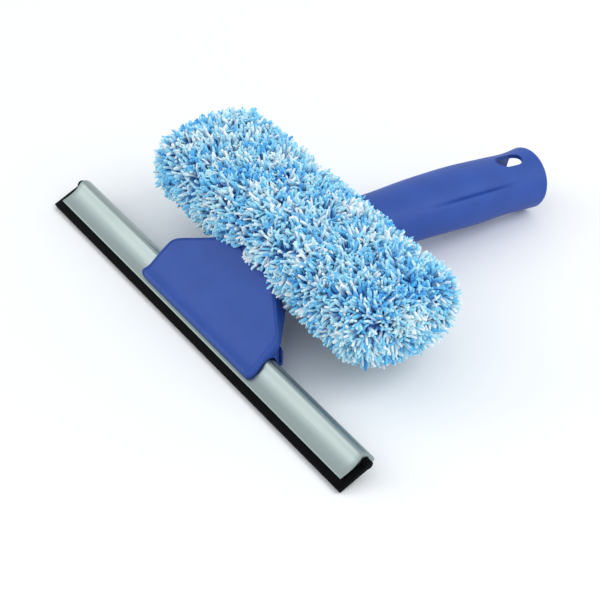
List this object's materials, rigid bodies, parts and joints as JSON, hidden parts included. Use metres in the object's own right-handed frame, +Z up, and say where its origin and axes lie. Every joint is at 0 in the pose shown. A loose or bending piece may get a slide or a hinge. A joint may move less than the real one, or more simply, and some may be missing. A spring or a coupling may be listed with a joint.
{
  "type": "window squeegee with washer sleeve",
  "caption": "Hand squeegee with a rubber blade in an aluminium channel, a plush washer sleeve on a crossbar behind it, and a hollow oval handle with a hanging hole.",
  "frame": {"origin": "on the resting surface, under the middle of the object's box", "axes": "+X along the blade to its right end, +Y from the rubber blade to the handle's end, +Z up as the tool rests on the rubber's edge and the handle's end"},
  "size_m": [0.2604, 0.216, 0.0605],
  "materials": {
    "blue_polypropylene": "satin moulded polypropylene",
    "bar_polypropylene": "moulded polypropylene",
    "screw_steel": "zinc plated",
    "anodised_aluminium": "satin anodised extrusion",
    "blade_rubber": "smooth moulded",
    "backing_cloth": "woven polyester",
    "microfibre_pile": "twisted microfibre pile",
    "strap_webbing": "woven webbing",
    "snap_plastic": "moulded acetal"
  },
  "bodies": {
    "frame": {"handle_grip": "blue_polypropylene", "neck_hub": "blue_polypropylene", "holder_upper_shell": "blue_polypropylene", "holder_lower_jaw": "blue_polypropylene", "pole_socket_sleeve": "blue_polypropylene", "socket_webs": "blue_polypropylene", "tbar_upper_half": "bar_polypropylene", "tbar_lower_half": "bar_polypropylene", "tbar_end_cap_left": "bar_polypropylene", "tbar_end_cap_right": "bar_polypropylene", "jaw_screws": "screw_steel", "tbar_screws": "screw_steel", "grip_screw": "screw_steel", "sleeve_backing": "backing_cloth", "sleeve_end_panel_left": "backing_cloth", "sleeve_end_panel_right": "backing_cloth", "sleeve_pile": "microfibre_pile", "sleeve_strap": "strap_webbing", "snap_caps": "snap_plastic", "snap_sockets": "snap_plastic"},
    "channel": {"aluminium_channel": "anodised_aluminium"},
    "rubber": {"rubber_blade": "blade_rubber"}
  },
  "joints": [
    {"name": "channel_slide", "type": "slide", "parent": "frame", "child": "channel", "axis": [1, 0, 0], "range_m": [-0.077, 0.077]},
    {"name": "rubber_slide", "type": "slide", "parent": "channel", "child": "rubber", "axis": [1, 0, 0], "range_m": [0, 0.25]}
  ]
}
